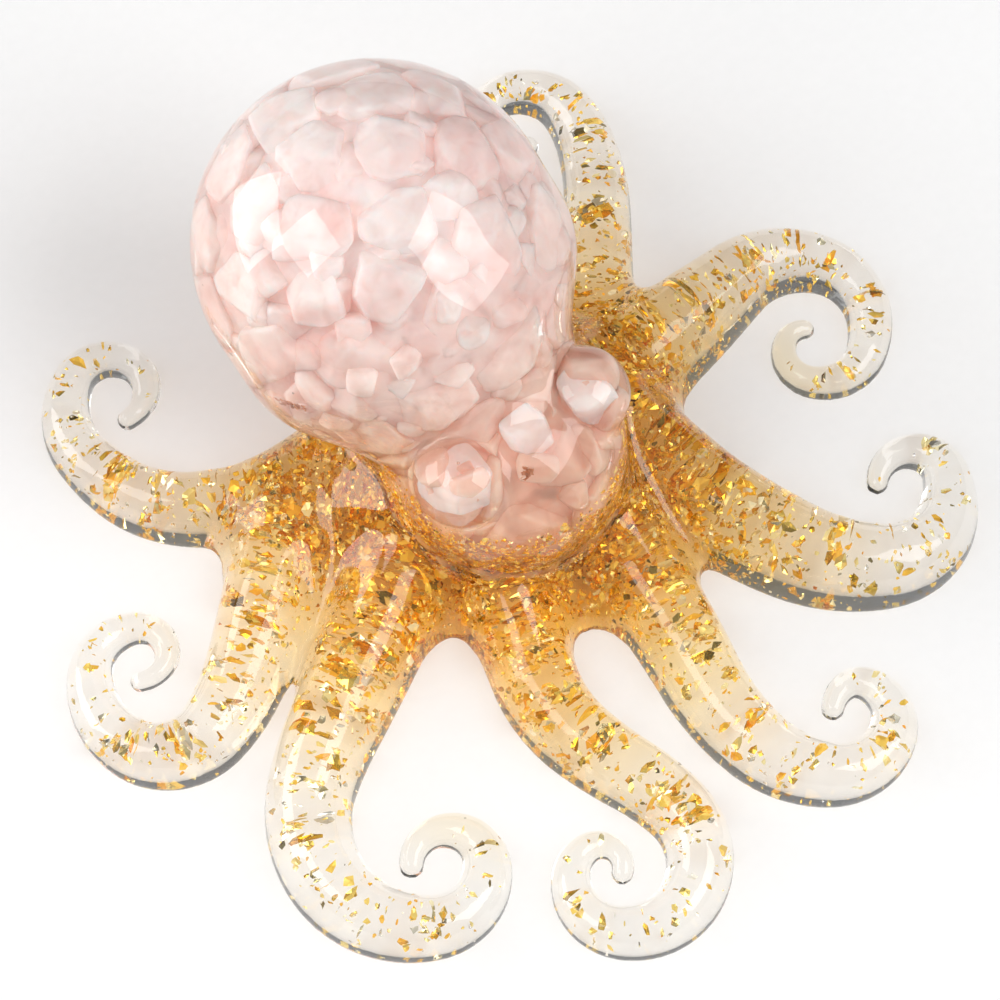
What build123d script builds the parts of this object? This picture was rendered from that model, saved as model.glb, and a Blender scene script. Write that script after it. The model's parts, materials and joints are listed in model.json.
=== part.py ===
from build123d import *
import math
import os
import random

import numpy as np

# Octopus figurine: clear resin cast in two pours, with rose quartz chips in the head
# and gold foil in the skirt and tentacles. The octopus faces -Y and rests on Z = 0.
# Lengths are in millimetres and angles in degrees.

# Head: a round mantle that leans back, a neck and a face with two domed eyes
MANTLE_RADIUS = 23.5
MANTLE_HEIGHT = 34.0
MANTLE_SETBACK = 17.0
FACE_RADIUS = 15.6
FACE_HEIGHT = 18.0
FACE_ADVANCE = 10.0
WAIST_RADIUS = 14.8
EYE_RADIUS = 6.2
EYE_SPACING = 19.2
EYE_HEIGHT = 27.5
EYE_ADVANCE = 13.3

# Skirt: the web that joins the tentacles and rises to the face
WEB_REACH = 38.0
WEB_HEIGHT = 17.0
WEB_CENTRE_ADVANCE = 8.0

# Tentacles: length along the middle line, from under the face to the curled tip
REAR_RIGHT_LENGTH = 71.0
RIGHT_LENGTH = 80.0
RIGHT_FRONT_LENGTH = 73.5
FRONT_RIGHT_LENGTH = 80.0
FRONT_LEFT_LENGTH = 92.0
LEFT_FRONT_LENGTH = 92.0
LEFT_LENGTH = 89.5
REAR_LEFT_LENGTH = 69.0

# Tentacles: width at the root
REAR_RIGHT_WIDTH = 11.0
RIGHT_WIDTH = 15.5
RIGHT_FRONT_WIDTH = 15.0
FRONT_RIGHT_WIDTH = 13.5
FRONT_LEFT_WIDTH = 13.0
LEFT_FRONT_WIDTH = 14.5
LEFT_WIDTH = 14.0
REAR_LEFT_WIDTH = 11.5

ROOT_OVERRUN = 7.0
ROOT_RISE = 6.0
ROOT_RISE_START = 12.0
ROOT_RISE_END = 30.0

# Rose quartz chips: sizes, then slopes and limits as angles from the head's axis, then counts
SKIN = 1.5
CHIP_GAP = 0.4
MANTLE_CHIP_REACH = 7.0
FACE_CHIP_REACH = 5.5
EYE_CHIP_REACH = 2.5
BROW_CHIP_REACH = 2.8
MANTLE_SEED_RADIUS = 17.3
CORE_SEED_RADIUS = 6.5
FACE_SEED_RADIUS = 9.5
BROW_DEPTH = 3.6
NECK_CHIP_DEPTH = 6.0
SEED_JITTER = 1.1
SHOULDER_SLOPE = 30.0
OUTER_TILT = 20.0
MANTLE_CHIP_LIMIT = 50.0
FACE_CHIP_LIMIT = 115.0
MANTLE_CHIP_COUNT = 62
CORE_CHIP_COUNT = 6
SHOULDER_CHIP_COUNT = 9
WAIST_CHIP_COUNT = 6
FACE_CHIP_COUNT = 18
CORNER_CUTS = 4

# Gold foil flakes
FLAKE_THICKNESS = 0.15
FLAKE_LARGEST_RADIUS = 1.7
FLAKE_MARGIN = 2.5
FLAKE_CORNERS = 5
FLAKES_IN_A_TENTACLE = 11
FLAKES_IN_A_ROOT = 3
FLAKE_CROWDING = 1.2

# Height of a tentacle as a share of its width
RISE_SHARE = 0.78
# Height of a four-point Bezier dome as a share of its two upper points' height
DOME_SHARE = 0.75
# Shortest arc left at the end of a swept stretch, as a share of the tentacle's width
ARC_END_SHARE = 0.12
# Head outline: places as shares of the way from the mantle's centre to the face's, and the
# shoulder's radius as a share of the mantle's
SHOULDER_PLACE_SHARE = 0.54
SHOULDER_RADIUS_SHARE = 0.83
WAIST_PLACE_SHARE = 0.79
# Where the mantle's crown, underside and back begin, as shares of its radius
CROWN_SHARE = 0.60
UNDERSIDE_SHARE = 0.50
BACK_SHARE = 0.60
# How far out a chip's corners are cut off, as shares of their distance from its seed
CORNER_CUT_SHARES = (0.68, 0.84)
# Flakes: radius, place across and places up as shares of the tentacle's width and height, the
# last place along as a share of its length, and how far corners and tilt stray
FLAKE_RADIUS_SHARE = 0.13
FLAKE_ASIDE_SHARE = 0.18
FLAKE_HEIGHT_SHARES = (0.30, 0.55)
FLAKE_END_SHARE = 0.96
FLAKE_CORNER_SHARES = (0.62, 1.0)
FLAKE_WANDER_SHARE = 0.25
FLAKE_TILT_SHARE = 0.5
# How far along a tentacle the taper is stated, and the width there, both as shares
TAPER_PLACE_SHARES = (0.0, 0.20, 0.40, 0.60, 0.75, 0.88, 1.0)
# How far to each side the taper is evened out, as a share of the length
SMOOTHING_SHARE = 0.06
# The rounded tip: distance from the end and width, as shares of the half width at the tip
TIP_SHARES = ((1.0, 1.0), (0.55, 0.88), (0.22, 0.62), (0.0, 0.25))

# Edge of the web, seen from above, as shares of WEB_REACH: one point at each notch
# between two tentacles, counter-clockwise from the rear right
WEB_NOTCH_SHARES = (
    (0.36, 0.32), (-0.36, 0.40), (-0.93, 0.19), (-0.80, -0.24),
    (-0.46, -0.54), (-0.07, -0.83), (0.36, -0.82), (0.68, -0.38), (0.84, 0.12),
)
# The web's flank: (share of the outline's size, share of WEB_HEIGHT)
WEB_FLANK_SHARES = ((1.0, 0.0), (0.97, 0.16), (0.74, 0.42), (0.55, 0.72), (0.42, 1.0))


class Tentacle:
    """One tentacle: where its middle line starts, how it bends and how it tapers."""

    def __init__(self, length, width, root_shares, heading, node_share, bend_shares, taper_shares):
        self.length = length
        self.width = width
        self.root = (root_shares[0] * WEB_REACH, root_shares[1] * WEB_REACH)
        self.heading = heading
        self.node_start = node_share * length
        self.bends = [(share * length, turn) for share, turn in bend_shares]
        self.taper_shares = taper_shares

    def at(self, distance):
        """The middle line's place and heading, a distance along it from the root."""
        x, y = self.root
        heading = math.radians(self.heading)
        if distance < 0:
            return x + distance * math.cos(heading), y + distance * math.sin(heading), heading
        left = distance
        for run, turn in self.bends:
            step = min(run, left)
            bend = math.radians(turn) * step / run
            chord = step * float(np.sinc(bend / math.tau))
            x += chord * math.cos(heading + bend / 2)
            y += chord * math.sin(heading + bend / 2)
            heading += bend
            left -= step
        return x, y, heading

    def width_at(self, distance):
        """The taper between its stated places, evened out over a short way to each side."""
        share = max(0, distance) / self.length
        nearby = [share - SMOOTHING_SHARE, share, share + SMOOTHING_SHARE]
        return self.width * float(np.mean(np.interp(nearby, TAPER_PLACE_SHARES, self.taper_shares)))

    def height_at(self, distance):
        """The height follows the width, and rises where the tentacle runs up to the face."""
        x, y, _ = self.at(distance)
        from_hub = math.hypot(x, y + WEB_CENTRE_ADVANCE)
        climb = (ROOT_RISE_END - from_hub) / (ROOT_RISE_END - ROOT_RISE_START)
        return self.width_at(distance) * RISE_SHARE + ROOT_RISE * max(0, min(1, climb)) ** 2

    def section(self, distance, width_share=1.0):
        """A D-shaped section, flat on the table, square to the middle line."""
        x, y, heading = self.at(distance)
        plane = Plane(
            origin=(x, y, 0),
            x_dir=(-math.sin(heading), math.cos(heading), 0),
            z_dir=(math.cos(heading), math.sin(heading), 0),
        )
        half = self.width_at(distance) * width_share / 2
        crown = self.height_at(distance) * width_share / DOME_SHARE
        dome = Bezier((-half, 0), (-half, crown), (half, crown), (half, 0))
        return plane * make_face(Curve() + [dome, Line((half, 0), (-half, 0))])

    def swept(self, first, last):
        """The form from first to last, swept along the arcs of the middle line."""
        margin = self.width * ARC_END_SHARE
        ends = np.cumsum([run for run, _ in self.bends])
        places = [first] + [float(end) for end in ends if first + margin < end < last - margin] + [last]
        path = Wire([self.arc(start, end).edge() for start, end in zip(places, places[1:])])
        return sweep(sections=[self.section(place) for place in places], path=path, multisection=True)

    def arc(self, start, end):
        """One arc, or a straight run, of the middle line."""
        before, half_way, after = [self.at(place) for place in (start, (start + end) / 2, end)]
        if math.isclose(after[2], before[2]):
            return Line(before[:2], after[:2])
        return ThreePointArc(before[:2], half_way[:2], after[:2])

    def free_part(self):
        """The tentacle from the web's edge to its rounded tip."""
        tip_half = self.width_at(self.length) / 2
        rounds = [self.section(self.length - back * tip_half, share) for back, share in TIP_SHARES]
        return self.swept(self.node_start, self.length - tip_half) + loft(rounds)

    def root_part(self):
        """The tentacle from under the face to the web's edge, which is part of the skirt."""
        return self.swept(-ROOT_OVERRUN, self.node_start)


TENTACLES = {
    "rear_right": Tentacle(
        REAR_RIGHT_LENGTH, REAR_RIGHT_WIDTH, (0.55, -0.09), 51.5, 0.22,
        ((0.36, 0), (0.155, 17), (0.075, 17), (0.14, 74), (0.115, 80), (0.10, 100), (0.055, 80)),
        (1.0, 0.91, 0.84, 0.70, 0.53, 0.40, 0.24),
    ),
    "right": Tentacle(
        RIGHT_LENGTH, RIGHT_WIDTH, (0.42, -0.16), 5.0, 0.24,
        ((0.355, 1), (0.165, -61), (0.14, -70), (0.065, -22), (0.115, -82), (0.10, -98), (0.06, -95)),
        (1.0, 0.93, 0.66, 0.45, 0.35, 0.28, 0.16),
    ),
    "right_front": Tentacle(
        RIGHT_FRONT_LENGTH, RIGHT_FRONT_WIDTH, (0.46, -0.32), -78.0, 0.33,
        ((0.15, 0), (0.23, 14), (0.165, 30), (0.175, 72), (0.075, 25), (0.135, 122), (0.07, 60)),
        (1.0, 0.97, 0.90, 0.72, 0.49, 0.35, 0.15),
    ),
    "front_right": Tentacle(
        FRONT_RIGHT_LENGTH, FRONT_RIGHT_WIDTH, (0.22, -0.39), -95.0, 0.27,
        ((0.205, -1), (0.175, -6), (0.15, 21), (0.13, 39), (0.14, 78), (0.105, 87), (0.035, 61), (0.06, 56)),
        (1.0, 0.95, 0.84, 0.71, 0.53, 0.39, 0.18),
    ),
    "front_left": Tentacle(
        FRONT_LEFT_LENGTH, FRONT_LEFT_WIDTH, (-0.16, -0.38), -110.5, 0.18,
        ((0.20, 1), (0.125, 32), (0.08, 8), (0.08, -14), (0.12, -63), (0.135, -77), (0.125, -95),
         (0.04, -45), (0.075, -135), (0.02, -25)),
        (1.0, 0.89, 0.77, 0.66, 0.54, 0.36, 0.18),
    ),
    "left_front": Tentacle(
        LEFT_FRONT_LENGTH, LEFT_FRONT_WIDTH, (-0.37, -0.22), -150.4, 0.18,
        ((0.30, 0), (0.075, 8), (0.14, 44), (0.18, 68), (0.13, 88), (0.10, 105), (0.05, 60), (0.025, 20)),
        (1.0, 0.94, 0.79, 0.69, 0.52, 0.37, 0.18),
    ),
    "left": Tentacle(
        LEFT_LENGTH, LEFT_WIDTH, (-0.34, 0.18), 174.0, 0.29,
        ((0.175, 44), (0.145, 1), (0.08, -7), (0.08, -17), (0.125, -82), (0.14, -60), (0.11, -85),
         (0.095, -134), (0.05, -57)),
        (1.0, 0.93, 0.80, 0.60, 0.42, 0.30, 0.17),
    ),
    "rear_left": Tentacle(
        REAR_LEFT_LENGTH, REAR_LEFT_WIDTH, (-0.45, 0.12), 150.0, 0.27,
        ((0.25, -2), (0.19, -43), (0.09, -12), (0.17, -60), (0.13, -94), (0.11, -95), (0.06, -38)),
        (1.0, 0.94, 0.81, 0.61, 0.47, 0.40, 0.21),
    ),
}

# Places and directions of the head that several pieces share
MANTLE_CENTRE = np.array([0, MANTLE_SETBACK, MANTLE_HEIGHT])
FACE_CENTRE = np.array([0, -FACE_ADVANCE, FACE_HEIGHT])
HEAD_LENGTH = float(np.linalg.norm(FACE_CENTRE - MANTLE_CENTRE))
HEAD_DIRECTION = (FACE_CENTRE - MANTLE_CENTRE) / HEAD_LENGTH
EYE_CENTRES = {
    "left": np.array([-EYE_SPACING / 2, -EYE_ADVANCE, EYE_HEIGHT]),
    "right": np.array([EYE_SPACING / 2, -EYE_ADVANCE, EYE_HEIGHT]),
}


# Head

def head_outlines():
    """The head's resin before the chips are let into it: a turned form about the leaning axis,
    parted at the waist, with a ball for each eye."""
    crown = (-MANTLE_RADIUS, 0)
    mantle_top = (0, MANTLE_RADIUS)
    shoulder = (HEAD_LENGTH * SHOULDER_PLACE_SHARE, MANTLE_RADIUS * SHOULDER_RADIUS_SHARE)
    waist = (HEAD_LENGTH * WAIST_PLACE_SHARE, WAIST_RADIUS)
    face_top = (HEAD_LENGTH, FACE_RADIUS)
    chin = (HEAD_LENGTH + FACE_RADIUS, 0)
    slant = math.sqrt(0.5)
    outline = Curve() + [
        ThreePointArc(crown, (-MANTLE_RADIUS * slant, MANTLE_RADIUS * slant), mantle_top),
        Spline(mantle_top, shoulder, waist, face_top, tangents=((1, 0), (1, 0))),
        ThreePointArc(face_top, (HEAD_LENGTH + FACE_RADIUS * slant, FACE_RADIUS * slant), chin),
        Line(chin, crown),
    ]
    plane = Plane(origin=tuple(MANTLE_CENTRE), x_dir=tuple(HEAD_DIRECTION), z_dir=(1, 0, 0))
    body = revolve(plane * make_face(outline), Axis(tuple(MANTLE_CENTRE), tuple(HEAD_DIRECTION)))
    eyes = {side: Pos(*centre) * Sphere(EYE_RADIUS) for side, centre in EYE_CENTRES.items()}
    for eye in eyes.values():
        body -= eye
    waist_place = MANTLE_CENTRE + HEAD_DIRECTION * HEAD_LENGTH * WAIST_PLACE_SHARE
    parting = Plane(origin=tuple(waist_place), z_dir=tuple(HEAD_DIRECTION))
    return {
        "mantle_resin": split(body, bisect_by=parting, keep=Keep.BOTTOM),
        "face_resin": split(body, bisect_by=parting, keep=Keep.TOP),
        "left_eye_dome": eyes["left"],
        "right_eye_dome": eyes["right"],
    }


# Chips: each is the space nearest to its own seed point, drawn in from its neighbours

def spread_on_sphere(count):
    """Unit directions spread evenly over a sphere by the golden angle."""
    golden = math.pi * (3 - math.sqrt(5))
    directions = []
    for index in range(count):
        height = 1 - (2 * index + 1) / count
        ring = math.sqrt(1 - height ** 2)
        directions.append(np.array([ring * math.cos(golden * index), ring * math.sin(golden * index), height]))
    return directions


def strayed(place, dice):
    """A seed point moved a little from its even spacing."""
    return place + np.array([dice.uniform(-1, 1) for _ in range(3)]) * SEED_JITTER


def chip_seeds():
    """Seed points as (group, place, reach, limit), where the limit is None for an inner chip
    or (origin, outward direction, distance of the outer side from the origin)."""
    dice = random.Random(11)
    seeds = []
    for way in spread_on_sphere(MANTLE_CHIP_COUNT):
        if way @ HEAD_DIRECTION > math.cos(math.radians(MANTLE_CHIP_LIMIT)):
            continue
        place = strayed(MANTLE_CENTRE + way * MANTLE_SEED_RADIUS, dice)
        limit = (MANTLE_CENTRE, way, MANTLE_RADIUS - SKIN)
        seeds.append((mantle_group(way), place, MANTLE_CHIP_REACH, limit))
    for way in spread_on_sphere(CORE_CHIP_COUNT):
        place = strayed(MANTLE_CENTRE + way * CORE_SEED_RADIUS, dice)
        seeds.append(("core_chips", place, MANTLE_CHIP_REACH, None))
    across = np.array([1, 0, 0])
    upward = np.cross(across, HEAD_DIRECTION)
    for place_share, radius, count, slope in (
        (SHOULDER_PLACE_SHARE, MANTLE_RADIUS * SHOULDER_RADIUS_SHARE, SHOULDER_CHIP_COUNT, SHOULDER_SLOPE),
        (WAIST_PLACE_SHARE, WAIST_RADIUS, WAIST_CHIP_COUNT, 0),
    ):
        middle = MANTLE_CENTRE + HEAD_DIRECTION * HEAD_LENGTH * place_share
        lean = math.radians(slope)
        for index in range(count):
            angle = math.tau * index / count
            ring = across * math.cos(angle) + upward * math.sin(angle)
            way = ring * math.cos(lean) + HEAD_DIRECTION * math.sin(lean)
            place = strayed(middle + ring * (radius - NECK_CHIP_DEPTH), dice)
            limit = (middle, way, radius * math.cos(lean) - SKIN)
            seeds.append(("neck_chips", place, FACE_CHIP_REACH, limit))
    for way in spread_on_sphere(FACE_CHIP_COUNT):
        if way @ HEAD_DIRECTION < math.cos(math.radians(FACE_CHIP_LIMIT)):
            continue
        place = strayed(FACE_CENTRE + way * FACE_SEED_RADIUS, dice)
        seeds.append(("face_chips", place, FACE_CHIP_REACH, (FACE_CENTRE, way, FACE_RADIUS - SKIN)))
    for side, centre in EYE_CENTRES.items():
        seeds.append((side + "_eye_chip", centre, EYE_CHIP_REACH, None))
    brow_way = sum(EYE_CENTRES.values()) / 2 - FACE_CENTRE
    brow_way = brow_way / np.linalg.norm(brow_way)
    brow = FACE_CENTRE + brow_way * (FACE_RADIUS - BROW_DEPTH)
    seeds.append(("brow_chip", brow, BROW_CHIP_REACH, (FACE_CENTRE, brow_way, FACE_RADIUS - SKIN / 2)))
    return seeds


def mantle_group(way):
    """The mantle's chips lie in five groups: crown, underside, left, right and back."""
    if way[2] > CROWN_SHARE:
        return "crown_chips"
    if way[2] < -UNDERSIDE_SHARE:
        return "underside_chips"
    if way[1] > BACK_SHARE:
        return "back_chips"
    return "left_mantle_chips" if way[0] < 0 else "right_mantle_chips"


def block(centre, reach):
    """The six faces of a cube, each a loop of corners seen counter-clockwise from outside."""
    faces = []
    for axis in range(3):
        one, two = (axis + 1) % 3, (axis + 2) % 3
        for side in (1, -1):
            loop = []
            for a, b in ((-1, -1), (1, -1), (1, 1), (-1, 1)):
                corner = np.zeros(3)
                corner[axis], corner[one], corner[two] = side, a * side, b
                loop.append(centre + corner * reach)
            faces.append(loop)
    return faces


def clip(faces, normal, offset):
    """Keep the part of a convex solid where normal . point is at most offset."""
    kept = []
    rim = []
    for loop in faces:
        heights = [float(normal @ point) - offset for point in loop]
        trimmed = []
        for index, point in enumerate(loop):
            after = (index + 1) % len(loop)
            if heights[index] <= 0:
                trimmed.append(point)
            if (heights[index] <= 0) != (heights[after] <= 0):
                share = heights[index] / (heights[index] - heights[after])
                crossing = point + (loop[after] - point) * share
                trimmed.append(crossing)
                rim.append(crossing)
        if len(trimmed) > 2:
            kept.append(trimmed)
    if rim:
        kept.append(ordered_about(rim, normal))
    return kept


def ordered_about(points, normal):
    """The points of a flat rim in counter-clockwise order about the normal, each one once."""
    middle = sum(points) / len(points)
    first = points[0] - middle
    first = first / np.linalg.norm(first)
    second = np.cross(normal / np.linalg.norm(normal), first)
    points = sorted(points, key=lambda point: math.atan2((point - middle) @ second, (point - middle) @ first))
    return [point for index, point in enumerate(points) if not np.allclose(point, points[index - 1])]


def outer_ways(way):
    """The outward direction and four that tilt from it, which give a chip a rounded outer side."""
    side = np.array(tuple(Plane(origin=(0, 0, 0), z_dir=tuple(way)).x_dir))
    other = np.cross(way, side)
    tilt = math.radians(OUTER_TILT)
    ways = [way]
    for lateral in (side, other, -side, -other):
        ways.append(way * math.cos(tilt) + lateral * math.sin(tilt))
    return ways


def solid_from(faces):
    """A planar-faced solid from its loops of corners."""
    return Solid(Shell([Face(Wire.make_polygon([Vector(*point) for point in loop])) for loop in faces]))


def chips():
    """All chips by group."""
    seeds = chip_seeds()
    dice = random.Random(5)
    groups = {}
    for index, (group, place, reach, limit) in enumerate(seeds):
        faces = block(place, reach)
        if limit is not None:
            origin, way, distance = limit
            for normal in outer_ways(way):
                faces = clip(faces, normal, normal @ origin + distance)
        for other, (_, neighbour, _, _) in enumerate(seeds):
            apart = neighbour - place
            distance = float(np.linalg.norm(apart))
            if other != index:
                normal = apart / distance
                faces = clip(faces, normal, normal @ place + distance / 2 - CHIP_GAP / 2)
        for _ in range(CORNER_CUTS):
            normal = np.array([dice.gauss(0, 1) for _ in range(3)])
            normal = normal / np.linalg.norm(normal)
            furthest = max(float(normal @ (point - place)) for loop in faces for point in loop)
            faces = clip(faces, normal, normal @ place + furthest * dice.uniform(*CORNER_CUT_SHARES))
        groups.setdefault(group, []).append(solid_from(faces))
    return groups


# Foil

def flake(place, radius, dice):
    """A thin flake of foil with uneven corners, at a random turn and tilt."""
    lean = [dice.uniform(-FLAKE_TILT_SHARE, FLAKE_TILT_SHARE) for _ in range(2)]
    frame = Plane(origin=tuple(place), z_dir=(lean[0], lean[1], 1))
    turn = dice.uniform(0, math.tau)
    corners = []
    for index in range(FLAKE_CORNERS):
        stray = dice.uniform(-FLAKE_WANDER_SHARE, FLAKE_WANDER_SHARE)
        angle = turn + math.tau * (index + stray) / FLAKE_CORNERS
        reach = radius * dice.uniform(*FLAKE_CORNER_SHARES)
        corners.append((reach * math.cos(angle), reach * math.sin(angle)))
    return extrude(frame * make_face(Polyline(*corners, close=True)), FLAKE_THICKNESS / 2, both=True)


def flakes_along(tentacle, first, last, count, dice):
    """Flakes one after the other inside a tentacle, closer together near its root."""
    made = []
    for index in range(count):
        distance = first + (last - first) * ((index + 1 / 2) / count) ** FLAKE_CROWDING
        x, y, heading = tentacle.at(distance)
        width = tentacle.width_at(distance)
        aside = dice.uniform(-FLAKE_ASIDE_SHARE, FLAKE_ASIDE_SHARE) * width
        up = dice.uniform(*FLAKE_HEIGHT_SHARES) * width * RISE_SHARE
        place = (x - math.sin(heading) * aside, y + math.cos(heading) * aside, up)
        made.append(flake(place, min(FLAKE_LARGEST_RADIUS, width * FLAKE_RADIUS_SHARE), dice))
    return made


# Skirt

def web():
    """The web between the tentacles: a low outline that sweeps up to the face."""
    sections = []
    for size_share, height_share in WEB_FLANK_SHARES:
        corners = []
        for x_share, y_share in WEB_NOTCH_SHARES:
            x = x_share * WEB_REACH * size_share
            y = (y_share * WEB_REACH + WEB_CENTRE_ADVANCE) * size_share - WEB_CENTRE_ADVANCE
            corners.append((x, y, height_share * WEB_HEIGHT))
        sections.append(make_face(Spline(*corners, periodic=True)))
    return loft(sections)


# Assembly

def build():
    """All nodes by name, each a list of solids."""
    head = head_outlines()
    nodes = chips()
    all_chips = [chip for group in nodes.values() for chip in group]
    nodes.update({name: form - all_chips for name, form in head.items()})

    dice = random.Random(3)
    root_flakes = []
    skirt = web()
    for name, tentacle in TENTACLES.items():
        free = tentacle.free_part()
        skirt = skirt + tentacle.root_part()
        own = flakes_along(
            tentacle, tentacle.node_start + FLAKE_MARGIN, tentacle.length * FLAKE_END_SHARE,
            FLAKES_IN_A_TENTACLE, dice,
        )
        root_flakes += flakes_along(
            tentacle, tentacle.node_start / 2, tentacle.node_start, FLAKES_IN_A_ROOT, dice,
        )
        nodes["tentacle_" + name] = free
        nodes["foil_" + name] = own
    for name in TENTACLES:
        skirt = skirt - nodes["tentacle_" + name]
    for form in head.values():
        skirt = skirt - form
    nodes["skirt_resin"] = skirt - root_flakes
    nodes["foil_skirt"] = root_flakes
    for name in TENTACLES:
        nodes["tentacle_" + name] = nodes["tentacle_" + name] - nodes["foil_" + name]
    return nodes


def main():
    os.makedirs("parts", exist_ok=True)
    for name, shape in build().items():
        solids = shape if isinstance(shape, list) else shape.solids()
        solids = [solid for item in solids for solid in item.solids()]
        whole = solids[0] if len(solids) == 1 else Compound(solids)
        export_step(whole, os.path.join("parts", name + ".step"))
        print(name, len(solids), "solids", round(sum(solid.volume for solid in solids), 1), "mm3")


main()
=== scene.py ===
import json
import math
import random

import bpy
import numpy as np
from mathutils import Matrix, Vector

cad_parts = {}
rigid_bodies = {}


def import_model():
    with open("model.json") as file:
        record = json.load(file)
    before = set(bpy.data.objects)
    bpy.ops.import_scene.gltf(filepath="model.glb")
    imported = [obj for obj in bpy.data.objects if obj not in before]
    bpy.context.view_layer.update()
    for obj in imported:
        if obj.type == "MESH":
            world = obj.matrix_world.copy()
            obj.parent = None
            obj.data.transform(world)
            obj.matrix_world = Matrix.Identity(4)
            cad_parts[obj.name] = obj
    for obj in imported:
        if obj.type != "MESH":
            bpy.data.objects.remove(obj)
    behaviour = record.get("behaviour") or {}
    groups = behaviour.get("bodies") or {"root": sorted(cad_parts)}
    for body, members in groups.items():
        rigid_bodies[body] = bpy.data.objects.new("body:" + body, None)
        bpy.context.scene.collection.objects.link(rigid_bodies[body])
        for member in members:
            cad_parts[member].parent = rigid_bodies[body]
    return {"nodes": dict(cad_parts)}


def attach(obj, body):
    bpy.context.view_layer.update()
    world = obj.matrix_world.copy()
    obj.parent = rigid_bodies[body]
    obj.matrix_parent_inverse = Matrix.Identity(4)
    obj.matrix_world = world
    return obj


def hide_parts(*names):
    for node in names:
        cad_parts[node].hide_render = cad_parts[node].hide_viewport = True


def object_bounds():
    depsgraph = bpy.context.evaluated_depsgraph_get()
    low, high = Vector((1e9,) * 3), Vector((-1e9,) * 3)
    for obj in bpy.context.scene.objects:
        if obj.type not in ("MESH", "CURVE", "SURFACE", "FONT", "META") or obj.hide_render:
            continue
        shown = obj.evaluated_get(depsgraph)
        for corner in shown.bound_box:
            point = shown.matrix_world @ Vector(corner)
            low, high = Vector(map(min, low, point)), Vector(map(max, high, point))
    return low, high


for spare in list(bpy.data.objects):
    bpy.data.objects.remove(spare)

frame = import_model()
cad_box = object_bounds()

# Looks of a clear resin octopus with rose quartz chips in its head and gold foil in its
# skirt and tentacles. The forms are worked out in millimetres, as in the CAD model.
MM = 0.001

# Head
MANTLE_RADIUS = 23.5
MANTLE_CENTRE = np.array([0, 17.0, 34.0])
FACE_RADIUS = 15.6
FACE_CENTRE = np.array([0, -10.0, 18.0])
WAIST_RADIUS = 14.8
SHOULDER_SHARE = 0.54
SHOULDER_RADIUS_SHARE = 0.83
WAIST_SHARE = 0.79
EYE_RADIUS = 6.2
EYE_CENTRES = (np.array([-9.6, -13.3, 27.5]), np.array([9.6, -13.3, 27.5]))
HEAD_LENGTH = float(np.linalg.norm(FACE_CENTRE - MANTLE_CENTRE))
HEAD_DIRECTION = (FACE_CENTRE - MANTLE_CENTRE) / HEAD_LENGTH

# Skirt
WEB_REACH = 38.0
WEB_HEIGHT = 17.0
WEB_CENTRE = (0.0, -8.0)
WEB_NOTCH_SHARES = (
    (0.36, 0.32), (-0.36, 0.40), (-0.93, 0.19), (-0.80, -0.24),
    (-0.46, -0.54), (-0.07, -0.83), (0.36, -0.82), (0.68, -0.38), (0.84, 0.12),
)
WEB_FLANK_SHARES = (
    (0.0, 1.0), (0.42, 1.0), (0.55, 0.72), (0.74, 0.42), (0.97, 0.16), (1.0, 0.0), (2.0, -5.0),
)
WEB_EASE_SHARE = 0.12

# Tentacles: length, width, where they start as shares of the web's reach, heading, bends as
# (share of the length, turn) and the width along them as shares
TENTACLES = {
    "rear_right": (
        71.0, 11.0, (0.55, -0.09), 51.5,
        ((0.36, 0), (0.155, 17), (0.075, 17), (0.14, 74), (0.115, 80), (0.10, 100), (0.055, 80)),
        (1.0, 0.91, 0.84, 0.70, 0.53, 0.40, 0.24),
    ),
    "right": (
        80.0, 15.5, (0.42, -0.16), 5.0,
        ((0.355, 1), (0.165, -61), (0.14, -70), (0.065, -22), (0.115, -82), (0.10, -98), (0.06, -95)),
        (1.0, 0.93, 0.66, 0.45, 0.35, 0.28, 0.16),
    ),
    "right_front": (
        73.5, 15.0, (0.46, -0.32), -78.0,
        ((0.15, 0), (0.23, 14), (0.165, 30), (0.175, 72), (0.075, 25), (0.135, 122), (0.07, 60)),
        (1.0, 0.97, 0.90, 0.72, 0.49, 0.35, 0.15),
    ),
    "front_right": (
        80.0, 13.5, (0.22, -0.39), -95.0,
        ((0.205, -1), (0.175, -6), (0.15, 21), (0.13, 39), (0.14, 78), (0.105, 87), (0.035, 61), (0.06, 56)),
        (1.0, 0.95, 0.84, 0.71, 0.53, 0.39, 0.18),
    ),
    "front_left": (
        92.0, 13.0, (-0.16, -0.38), -110.5,
        ((0.20, 1), (0.125, 32), (0.08, 8), (0.08, -14), (0.12, -63), (0.135, -77), (0.125, -95),
         (0.04, -45), (0.075, -135), (0.02, -25)),
        (1.0, 0.89, 0.77, 0.66, 0.54, 0.36, 0.18),
    ),
    "left_front": (
        92.0, 14.5, (-0.37, -0.22), -150.4,
        ((0.30, 0), (0.075, 8), (0.14, 44), (0.18, 68), (0.13, 88), (0.10, 105), (0.05, 60), (0.025, 20)),
        (1.0, 0.94, 0.79, 0.69, 0.52, 0.37, 0.18),
    ),
    "left": (
        89.5, 14.0, (-0.34, 0.18), 174.0,
        ((0.175, 44), (0.145, 1), (0.08, -7), (0.08, -17), (0.125, -82), (0.14, -60), (0.11, -85),
         (0.095, -134), (0.05, -57)),
        (1.0, 0.93, 0.80, 0.60, 0.42, 0.30, 0.17),
    ),
    "rear_left": (
        69.0, 11.5, (-0.45, 0.12), 150.0,
        ((0.25, -2), (0.19, -43), (0.09, -12), (0.17, -60), (0.13, -94), (0.11, -95), (0.06, -38)),
        (1.0, 0.94, 0.81, 0.61, 0.47, 0.40, 0.21),
    ),
}
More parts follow.
